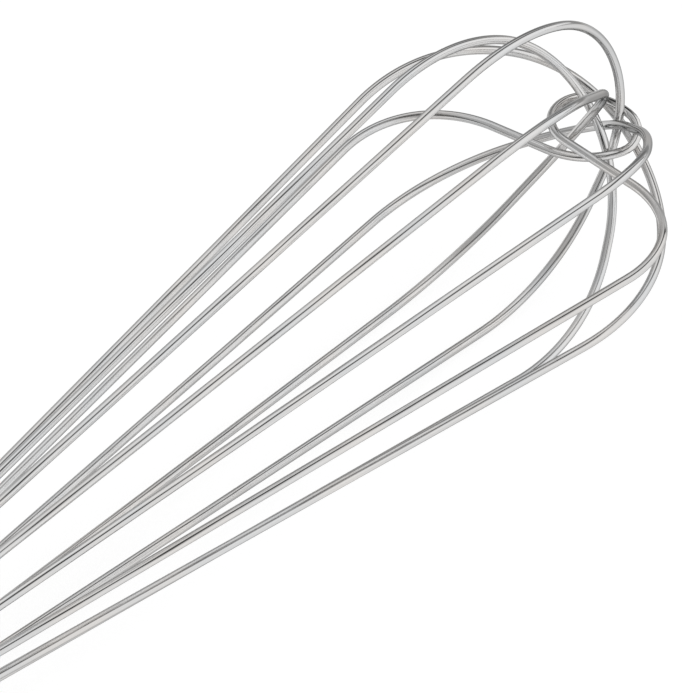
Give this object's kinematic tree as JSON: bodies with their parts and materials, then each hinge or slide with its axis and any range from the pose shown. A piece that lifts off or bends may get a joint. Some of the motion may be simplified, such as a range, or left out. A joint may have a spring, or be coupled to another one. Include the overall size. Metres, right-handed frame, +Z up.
{
  "type": "balloon whisk",
  "caption": "Long balloon whisk: crossed round-wire loops bound at the crown by the curl of one of them, with a tubular handle and a swinging hang ring.",
  "frame": {"origin": "on the table, under the middle of the whole object as it lies on its side", "axes": "+X from the hang ring towards the tip of the cage, +Y to the side, +Z up; the whisk's own axis rises 5.10 degrees towards the tip"},
  "size_m": [0.4768, 0.093, 0.0949],
  "materials": {
    "wire": "bright drawn stainless wire",
    "handle": "satin stainless tube, brushed round",
    "fittings": "polished stainless",
    "ring": "bright stainless wire",
    "filling": "cast resin"
  },
  "bodies": {
    "whisk": {"wire_loop_1": "wire", "wire_loop_2": "wire", "wire_loop_3": "wire", "wire_loop_4": "wire", "wire_loop_5": "wire", "tie_loop": "wire", "handle_tube": "handle", "neck_sleeve": "fittings", "guide_disc": "fittings", "filling": "filling", "end_cap": "fittings", "hanging_lug": "fittings"},
    "ring": {"hang_ring": "ring"}
  },
  "joints": [
    {"name": "ring_swing", "type": "hinge", "parent": "whisk", "child": "ring", "pos_m": [-0.21243, 0.00156, 0.01039], "axis": [0, 1, 0], "range_deg": [-125, 155]}
  ]
}
